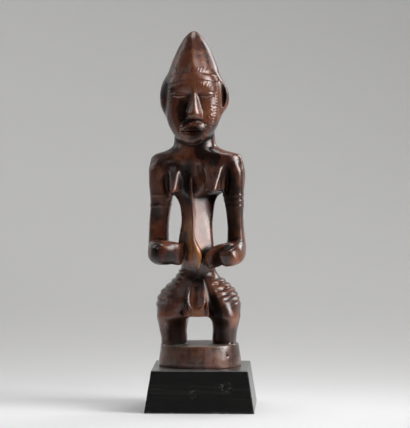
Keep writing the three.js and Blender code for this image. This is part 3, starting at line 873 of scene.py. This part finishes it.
def make_ear(table, side):
    """A lobe that swells out of the side of the head."""
    heights = np.linspace(table[0][0], table[-1][0], 19)
    lobe = []
    for z, tip in zip(heights, table_at(table, heights)[:, 0]):
        lobe.append([z, side * (EAR_ROOT + tip) / 2, (tip - EAR_ROOT) / 2, EAR_FRONT, EAR_BACK, 2.2, 2.4])
    return Turned(Loft(lobe))


def make_eye(block, middle):
    """A low almond with a straight slit."""
    almond, slit = [], []
    for share, tall in ((-1, 0.5), (-0.5, 1.9), (0, 2.4), (0.5, 1.9), (1, 0.5)):
        x = middle + share * EYE_HALF
        y = front_at(HEAD, x, EYE_HEIGHT)
        almond.append([x, y + 0.3, EYE_HEIGHT, 1.2, tall])
        slit.append([x, y - 0.9, SLIT_HEIGHT, 1.1, 0.36 + 0.08 * (tall > 1)])
    block.add(Turned(Tube(almond)), 0.7)
    block.cut(Turned(Tube(slit)), 0.3)


def make_head(block):
    block.add(Turned(Loft(HEAD)), 1.6, lambda x, y, z: headband(*to_head(x, y), z))
    block.add(make_ear(EAR_LEFT, -1), 1.6)
    block.add(make_ear(EAR_RIGHT, 1), 1)
    block.cut(Turned(Tube(EAR_HOLLOW, up=FRONTAL)), 1)
    block.add(Turned(Loft(NOSE)), 2.2)
    # Muzzle, lips and the slit between them
    block.add(Turned(Loft(MUZZLE)), 2)
    upper_lip = [[-6.6, -26, 222.6, 1, 0.9], [-3.2, -27.4, 224, 1.7, 1.9], [0.5, -28.1, 225.2, 1.9, 2.7],
                 [4.2, -27.4, 224, 1.7, 1.9], [7.2, -26, 222.6, 1, 0.9]]
    lower_lip = [[-6.8, -26, 221, 1, 0.9], [-4, -27.4, 219.6, 1.7, 1.7], [0.2, -28, 219, 1.8, 2],
                 [4.4, -27.4, 219.6, 1.7, 1.7], [7.4, -26, 221, 1, 0.9]]
    slit = [[-7.4, -27.4, 221.7, 1.2, 0.3], [0.2, -30, 221.8, 1.8, 0.38], [7.8, -27.4, 221.7, 1.2, 0.3]]
    block.add(Turned(Tube(upper_lip)), 2.6)
    block.add(Turned(Tube(lower_lip)), 2.6)
    block.cut(Turned(Tube(slit)), 0.3)
    for middle in EYES:
        make_eye(block, middle)


def make_field():
    block = Block(GRID_LOW, GRID_HIGH, GRID_STEP)
    make_legs(block)
    make_torso(block)
    make_arms(block)
    make_apron(block)
    make_head(block)
    heights = block.axes[2][:, None, None]
    block.field = np.maximum(block.field, BASE_BOTTOM - heights)
    return block


def place(piece, points):
    """Moves a piece's vertices to the points."""
    piece.data.vertices.foreach_set("co", points.astype(np.float32).ravel())


def linked(name, data):
    """New object of the scene with these data."""
    made = bpy.data.objects.new(name, data)
    bpy.context.scene.collection.objects.link(made)
    return made


def make_mesh(name, points, faces):
    mesh = bpy.data.meshes.new(name)
    piece = linked(name, mesh)
    mesh.vertices.add(len(points))
    place(piece, points)
    mesh.loops.add(faces.size)
    mesh.loops.foreach_set("vertex_index", faces.astype(np.int32).ravel())
    mesh.polygons.add(len(faces))
    mesh.polygons.foreach_set("loop_start", np.arange(0, faces.size, faces.shape[1], dtype=np.int32))
    mesh.update(calc_edges=True)
    mesh.validate()
    return piece


def vectors(items, name):
    """A vector of each of a mesh's items, in rows."""
    values = np.zeros(len(items) * 3, np.float32)
    items.foreach_get(name, values)
    return values.reshape(-1, 3).astype(float)


def raised_mesh(name, points, faces, relief, lowest):
    """Mesh whose points stand out of a surface by the relief, and are nowhere under the lowest height."""
    piece = make_mesh(name, points, faces)
    points = points + vectors(piece.data.vertex_normals, "vector") * relief[:, None]
    points[:, 2] = np.maximum(points[:, 2], lowest)
    place(piece, points)
    return piece


def thin_out(piece, most, kept=()):
    """Fewer triangles, where the surface is flat first, and not at the kept points."""
    triangles = 2 * len(piece.data.polygons)
    if triangles <= most:
        return
    modifier = piece.modifiers.new("thin", "DECIMATE")
    modifier.ratio = most / triangles
    if len(kept):
        group = piece.vertex_groups.new(name="kept")
        group.add([int(i) for i in kept], 0.9, "REPLACE")
        modifier.vertex_group = "kept"
        modifier.invert_vertex_group = True
    seen = piece.evaluated_get(bpy.context.evaluated_depsgraph_get())
    thinned = bpy.data.meshes.new_from_object(seen)
    piece.modifiers.clear()
    piece.vertex_groups.clear()
    piece.data = thinned


def hand_carved(points):
    """How far the knife left each point out or in."""
    broad = 0.30 * noise(points * [1, 1, 0.7], 12, 3)
    small = 0.09 * noise(points * [1, 1, 0.7], 4.4, 5)
    return broad + small


def beads_along(rows):
    """Evenly spaced points down an edge of the face."""
    rows = np.array(rows)
    step = np.hypot(*np.diff(rows, axis=0).T)
    along = np.concatenate([[0], np.cumsum(step)])
    at = np.arange(0, along[-1], BEAD_SPACING)
    heights, places = np.interp(at, along, rows[:, 0]), np.interp(at, along, rows[:, 1])
    return [(x, front_at(HEAD, x, z), z) for x, z in zip(places, heights)]


def face_marks(points):
    """Height of the beads, strokes and speckles carved on the front of the head, at points of the figure."""
    height = np.zeros(len(points))
    x, y = to_head(points[:, 0], points[:, 1])
    z = points[:, 2]
    near = np.nonzero((z > MARKS_LOW) & (z < MARKS_HIGH) & (y < MARKS_BACK))[0]
    x, y, z = x[near], y[near], z[near]
    made = np.zeros(len(near))
    uneven = noise(np.stack([x, 0 * y, z], 1), 3.1, 23)
    for bead in beads_along(BEADS_LEFT) + beads_along(BEADS_RIGHT):
        away = (x - bead[0]) ** 2 + 0.5 * (y - bead[1]) ** 2 + 1.2 * (z - bead[2]) ** 2
        made = np.maximum(made, (BEAD_RISE + 0.12 * uneven) * np.exp(-away / 0.9))
    for low, high, inner, outer in STROKES:
        slanted = np.abs(x) - 0.3 * (z - low) + 1.1 * uneven
        stroke = np.clip(np.cos(2 * np.pi * slanted / STROKE_SPACING) + 0.2, 0, 1)
        span = between(z + 0.7 * uneven, low, high, 0.5, 1.2)
        reach = between(np.abs(x), inner, outer, 0.4, 0.8)
        made = np.maximum(made, STROKE_RISE * stroke * span * reach * (0.8 + 0.5 * uneven))
    cheek = ramp(x, CHEEK_INNER, CHEEK_INNER + 4) * between(z, CHEEK_LOW, CHEEK_HIGH, 0, 6)
    speckles = np.clip(noise(np.stack([x, y * 0.4, z], 1), 1.1, 11), 0, 1)
    height[near] = made + CHEEK_RISE * cheek * speckles
    return height


def spots(points, table):
    """Sum of a table's soft spots. Each row is x, y, z, spread on the level and up and down, share."""
    total = np.zeros(len(points))
    for *middle, wide, tall, share in table:
        away = (points - middle) / [wide, wide, tall]
        total += share * np.exp(-(away**2).sum(1))
    return total


def give_attribute(piece, name, values):
    attribute = piece.data.attributes.new(name, "FLOAT", "POINT")
    attribute.data.foreach_set("value", values.astype(np.float32))


def smooth_shaded(piece):
    piece.data.polygons.foreach_set("use_smooth", np.ones(len(piece.data.polygons), bool))
    piece.data.update()


def make_figure():
    block = make_field()
    points, faces = block.surface()
    marks = face_marks(points)
    relief = hand_carved(points) + spots(points, DENTS) + marks
    piece = raised_mesh("carved_figure", points, faces, relief, BASE_BOTTOM)
    thin_out(piece, FIGURE_TRIANGLES, np.nonzero(marks > 0.03)[0])
    points = vectors(piece.data.vertices, "co")
    # Softened field values: the edges stand out worn warm, and creases and hollows are darkened as painted
    # shade
    for name, strides in (("edge", EDGE_STRIDES), ("hollow", HOLLOW_STRIDES)):
        give_attribute(piece, name, block.sample(block.softened(strides), points))
    for name, table in (("patina_and_painted_light", PATINA_AND_PAINTED_LIGHT), ("rubbed", PALE_RUBS_AND_HIGHLIGHT), ("dull", DULL)):
        give_attribute(piece, name, np.clip(spots(points, table), -1, 1))
    # Dust on top of the base, painted pale also as a painted sheen where light falls on it
    upwards = ramp(vectors(piece.data.vertex_normals, "vector")[:, 2], 0.6, 0.9)
    give_attribute(piece, "dust_and_sheen", upwards * (np.abs(points[:, 2] - BASE_TOP) < 2.5))
    c, s = math.cos(BODY_TURN), math.sin(BODY_TURN)
    x, y, z = points.T
    place(piece, np.stack([x * c - y * s, x * s + y * c, z], 1) * MM)
    smooth_shaded(piece)
    return piece


def make_plinth():
    """Tapered block with worn edges and dents."""
    block = Block(PLINTH_LOW, PLINTH_HIGH, PLINTH_STEP)
    x, y, z = (axis.reshape(shape) for axis, shape in zip(block.axes, ((1, 1, -1), (1, -1, 1), (-1, 1, 1))))
    taper = (PLINTH_BOTTOM - PLINTH_TOP) / 2 / PLINTH_HEIGHT
    half = PLINTH_BOTTOM / 2 - taper * z
    upright = math.cos(math.atan(taper))
    form = smooth_max((np.abs(x) - half) * upright, (np.abs(y) - half) * upright, PLINTH_SOFT)
    form = smooth_max(form, z - PLINTH_HEIGHT, PLINTH_SOFT)
    block.field = np.maximum(form, 0 - z).astype(np.float32)
    points, faces = block.surface()
    edges = block.softened(EDGE_STRIDES)
    worn = np.clip(block.sample(edges, points) * 4, 0, 1)
    chips = np.clip(noise(points, 3.6, 31) - 0.35, 0, 1) * worn
    relief = 0.05 * noise(points * [0.3, 0.3, 1], 2.4, 37) - 0.5 * chips
    piece = raised_mesh("black_plinth", points, faces, relief, 0)
    thin_out(piece, PLINTH_TRIANGLES)
    points = vectors(piece.data.vertices, "co")
    give_attribute(piece, "edge", block.sample(edges, points))
    scuffed = np.clip(noise(points, 9, 41) - 0.35, 0, 1)
    x, y, z = points.T
    for middle, height, wide, tall in SCUFFS:
        scuff = np.exp(-(((x - middle) / wide) ** 2) - ((z - height) / tall) ** 2)
        scuffed = np.maximum(scuffed, (y < -30) * scuff)
    give_attribute(piece, "scuffed", scuffed)
    place(piece, points * MM)
    smooth_shaded(piece)
    return piece


class Shader:
    """A material built node by node."""

    def __init__(self, name):
        self.material = bpy.data.materials.new(name)
        self.material.use_nodes = True
        self.tree = self.material.node_tree
        self.surface = self.tree.nodes["Principled BSDF"]
        self.place = self.node("TexCoord").outputs["Object"]

    def give(self, node, inputs):
        """Sets a node's inputs, by name or number, to values, colours or other nodes' outputs."""
        for key, value in inputs.items():
            socket = node.inputs[key]
            if isinstance(value, bpy.types.NodeSocket):
                self.tree.links.new(value, socket)
            else:
                socket.default_value = (*value, 1) if socket.type == "RGBA" else value

    def node(self, kind, inputs=None, **settings):
        made = self.tree.nodes.new("ShaderNode" + kind)
        for key, value in settings.items():
            setattr(made, key, value)
        self.give(made, inputs or {})
        return made

    def along(self, axis):
        return self.node("SeparateXYZ", {"Vector": self.place}).outputs[axis]

    def scaled(self, scale, shift=(0, 0, 0)):
        inputs = {"Vector": self.place, "Location": shift, "Scale": scale}
        return self.node("Mapping", inputs).outputs["Vector"]

    def noise(self, scale, detail=3, rough=0.55, stretch=(1, 1, 1)):
        inputs = {"Vector": self.scaled(stretch), "Scale": scale, "Detail": detail, "Roughness": rough}
        return self.node("TexNoise", inputs).outputs["Fac"]

    def attribute(self, name):
        return self.node("Attribute", attribute_name=name).outputs["Fac"]

    def ramp(self, source, low, high):
        """0 where source is at low or beyond it, and 1 where it is at high or beyond."""
        inputs = {"Value": source, "From Min": low, "From Max": high}
        return self.node("MapRange", inputs, interpolation_type="SMOOTHSTEP").outputs["Result"]

    def times(self, a, b):
        return self.node("Math", {0: a, 1: b}, operation="MULTIPLY").outputs["Value"]

    def plus(self, a, b):
        return self.node("Math", {0: a, 1: b}, operation="ADD").outputs["Value"]

    def mix(self, share, a, b):
        return self.node("Mix", {0: share, 6: a, 7: b}, data_type="RGBA").outputs[2]

    def layered(self, colour, *layers):
        """A colour under layers, the last on top. Each is two shares, which are multiplied, and a tint."""
        for share, most, tint in layers:
            colour = self.mix(self.times(share, most), colour, tint)
        return colour

    def bump(self, height, strength, distance, **under):
        inputs = {"Height": height, "Strength": strength, "Distance": distance, **under}
        return self.node("Bump", inputs).outputs["Normal"]

    def finished(self, inputs):
        self.give(self.surface, inputs)
        return self.material


def carved_wood():
    """Dark brown wood, warm where it is worn, waxed, with painted light on the cheeks, painted highlights on
    the apron's edge and the base, grime and nearly black painted shade in its hollows, creases and shaded
    places, and a painted sheen on the base's top.
    """
    s = Shader("carved_wood")
    patina_and_painted_light, edge = s.attribute("patina_and_painted_light"), s.attribute("edge")
    deep, brown, red = (0.004, 0.0025, 0.002), (0.032, 0.012, 0.008), (0.115, 0.033, 0.017)
    colour = s.mix(s.ramp(s.noise(48, 4, 0.6, (1, 1, 0.5)), 0.38, 0.68), brown, red)
    grain = s.noise(260, 4, 0.6, (1, 1, 0.06))
    streaks = s.ramp(s.noise(150, 5, 0.65, (1, 1, 0.12)), 0.3, 0.65)
    grime_and_painted_shade = s.ramp(patina_and_painted_light, -0.1, -0.9)
    hollow = s.ramp(s.attribute("hollow"), 0, -0.7)
    dust_and_sheen = s.times(s.attribute("dust_and_sheen"), s.ramp(s.noise(90, 5, 0.65), 0.15, 0.6))
    rubbed = s.times(s.attribute("rubbed"), s.ramp(s.noise(170, 5, 0.7, (1, 1, 0.4)), 0.25, 0.65))
    # The third layer makes the base drier than the figure
    colour = s.layered(
        colour,
        # Warm wear, which on the cheeks is partly painted light and on the apron's right edge a painted
        # highlight
        (s.ramp(patina_and_painted_light, 0.05, 0.55), 0.8, (0.17, 0.056, 0.030)),
        (s.ramp(patina_and_painted_light, 0.45, 1), streaks, (0.40, 0.16, 0.045)),
        (s.ramp(s.along("Z"), 0.056, 0.050), s.ramp(s.noise(60, 5, 0.65), 0.3, 0.7), (0.21, 0.125, 0.10)),
        (s.ramp(grain, 0.5, 0.75), 0.5, deep),
        (s.ramp(edge, 0.02, 0.14), s.ramp(s.noise(120, 4), 0.35, 0.65), (0.17, 0.058, 0.028)),
        # Black grime and painted shade from the patina table
        (grime_and_painted_shade, 0.88, deep),
        # Creases and hollows darkened nearly black: painted shade, with dirt in them
        (s.ramp(edge, -0.02, -0.16), 0.9, deep),
        (hollow, 0.75, deep),
        # Dust and a painted sheen on the base's top
        (dust_and_sheen, 0.8, (0.19, 0.155, 0.13)),
        # Rubbed pale places and scratches on the base; the patch at its right front is a painted highlight
        (rubbed, 0.75, (0.36, 0.26, 0.225)),
    )
    rough = s.plus(s.times(s.ramp(s.noise(36, 4), 0.42, 0.62), 0.2), 0.22)
    rough = s.plus(s.times(s.plus(grime_and_painted_shade, s.times(dust_and_sheen, 3)), 0.12), rough)
    # Grime and painted shade, the painted shade of the hollows, and unwaxed places shine less
    dull = s.plus(s.times(grime_and_painted_shade, 0.9), s.plus(s.times(hollow, 0.5), s.attribute("dull")))
    fine = s.bump(s.noise(900, 5, 0.6, (1, 1, 0.25)), 0.35, 0.0002)
    return s.finished({
        "Base Color": colour,
        "Roughness": rough,
        "Specular Tint": s.mix(dull, (1, 0.88, 0.85), (0.1, 0.09, 0.09)),
        "Specular IOR Level": 0.6,
        "Coat Weight": s.times(s.ramp(dull, 1, 0), 0.35),
        "Coat Roughness": 0.22,
        "Normal": s.bump(grain, 0.25, 0.0003, Normal=fine),
    })


def black_wood():
    """Black satin wood with a faint level grain, pale scuffs, and a top painted grey in patches as a painted
    reflection.
    """
    s = Shader("black_wood")
    grain = s.noise(300, 5, 0.6, (0.05, 0.05, 1))
    scuffs = s.times(s.ramp(s.attribute("scuffed"), 0.2, 0.9), s.ramp(s.noise(420, 4, 0.6), 0.52, 0.66))
    rubbed = s.times(s.ramp(s.attribute("edge"), 0.12, 0.4), s.ramp(s.noise(160, 5), 0.5, 0.7))
    # The top is painted pale grey in patches: a painted reflection
    painted_top_sheen = s.ramp(s.along("Z"), 0.0325, 0.0333)
    sheen_patches = s.ramp(s.noise(50, 5, 0.65), 0.25, 0.75)
    colour = s.layered(
        s.mix(s.ramp(grain, 0.45, 0.75), (0.011, 0.011, 0.0105), (0.018, 0.018, 0.0165)),
        (scuffs, 0.8, (0.10, 0.10, 0.095)),
        (painted_top_sheen, sheen_patches, (0.16, 0.16, 0.155)),
        (rubbed, 0.5, (0.04, 0.04, 0.037)),
    )
    rough = s.plus(s.times(grain, 0.16), 0.14)
    return s.finished({"Base Color": colour, "Roughness": rough, "Normal": s.bump(grain, 0.15, 0.0002)})


def pale_paper():
    """Paper that is pale round the object and painted greyer away from it, a painted pool of light, and
    greyer up the backdrop.
    """
    s = Shader("pale_paper")
    from_middle = s.scaled((1, 1, 0), shift=(0.17, 0, 0))
    away = s.node("VectorMath", {0: from_middle}, operation="LENGTH").outputs["Value"]
    pale = s.mix(s.noise(3), (0.83, 0.83, 0.84), (0.85, 0.85, 0.86))
    # Painted pool of light: the floor greys away from the object
    pale = s.mix(s.ramp(away, 0.22, 0.9), pale, (0.36, 0.36, 0.36))
    colour = s.mix(s.ramp(s.along("Y"), -0.09, 0.38), pale, (0.435, 0.432, 0.425))
    # Only its front is there, so that it doesn't hide the object from behind
    behind = s.node("NewGeometry").outputs["Backfacing"]
    clear = s.node("BsdfTransparent").outputs["BSDF"]
    paper = s.node("MixShader", {0: behind, 1: s.surface.outputs["BSDF"], 2: clear})
    s.give(s.tree.nodes["Material Output"], {"Surface": paper.outputs["Shader"]})
    return s.finished({"Base Color": colour, "Roughness": 0.8})


def dress(piece, material):
    piece.data.materials.clear()
    piece.data.materials.append(material)


def make_room():
    """Floor that curves up into a backdrop."""
    start, radius, top, half = 0.12, 0.6, 2.6, 2.5
    profile = [(-2.2, 0), (start, 0)]
    for i in range(1, 25):
        angle = math.pi / 2 * i / 24
        profile.append((start + radius * math.sin(angle), radius * (1 - math.cos(angle))))
    profile.append((start + radius, top))
    points = np.array([(x, y, z) for y, z in profile for x in (-half, half)])
    faces = np.array([[2 * i, 2 * i + 1, 2 * i + 3, 2 * i + 2] for i in range(len(profile) - 1)])
    room = make_mesh("backdrop", points, faces)
    smooth_shaded(room)
    room.data.materials.append(pale_paper())


def make_light(name, azimuth, elevation, far, width, height, watts, aim=(0, 0, 0.17), spread=180):
    """Softbox seen from its aim at an azimuth from straight ahead, to the right, and an elevation."""
    data = bpy.data.lights.new(name, "AREA")
    data.shape, data.size, data.size_y, data.energy = "RECTANGLE", width, height, watts
    data.spread = math.radians(spread)
    light = linked(name, data)
    a, e = math.radians(azimuth), math.radians(elevation)
    away = Vector((math.sin(a) * math.cos(e), -math.cos(a) * math.cos(e), math.sin(e)))
    light.location = Vector(aim) + away * far
    light.rotation_euler = away.to_track_quat("Z", "Y").to_euler()


def make_lights():
    make_light("key", 74, 23, 1.45, 0.8, 1, 4.7, spread=70)
    make_light("fill", -80, 24, 1.6, 0.25, 0.6, 1.6)
    make_light("front", 44, 50, 1.6, 0.6, 0.4, 2.7)
    make_light("left", -40, 34, 1.6, 0.6, 0.6, 0.8)
    make_light("rim", 140, 20, 0.9, 0.3, 0.6, 0.35, spread=60)
    make_light("top", 180, 80, 1.8, 1.2, 0.8, 13.8, aim=(0, -0.05, 0))
    make_light("wall", -84, 25, 0.8, 0.6, 0.6, 1.3, aim=(-0.2, 0.7, 0.35), spread=80)
    world = bpy.data.worlds.new("room_light")
    world.use_nodes = True
    glow = world.node_tree.nodes["Background"].inputs
    glow["Color"].default_value = (0.95, 0.96, 1, 1)
    glow["Strength"].default_value = 0.02
    bpy.context.scene.world = world


# Camera: how far away and how high it stands, and how it looks at the figure
CAMERA_AZIMUTH = math.radians(2.25)
CAMERA_FAR = 2.280
CAMERA_HEIGHT = 0.289
CAMERA_ASIDE = 0.00296
CAMERA_PITCH = math.radians(3.36)
CAMERA_LENS = 250.95


def make_camera():
    data = bpy.data.cameras.new("camera")
    data.sensor_fit, data.sensor_width, data.lens = "HORIZONTAL", 36, CAMERA_LENS
    camera = linked("camera", data)
    c, s = math.cos(CAMERA_AZIMUTH), math.sin(CAMERA_AZIMUTH)
    camera.location = (s * CAMERA_FAR + c * CAMERA_ASIDE, -c * CAMERA_FAR + s * CAMERA_ASIDE, CAMERA_HEIGHT)
    camera.rotation_euler = (math.pi / 2 - CAMERA_PITCH, 0, CAMERA_AZIMUTH)
    bpy.context.scene.camera = camera


make_camera()
make_room()
make_lights()
figure = make_figure()
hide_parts("figure")
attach(figure, "root")
dress(figure, carved_wood())
plinth = make_plinth()
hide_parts("plinth")
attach(plinth, "root")
dress(plinth, black_wood())
bpy.context.scene.view_settings.view_transform = "Standard"
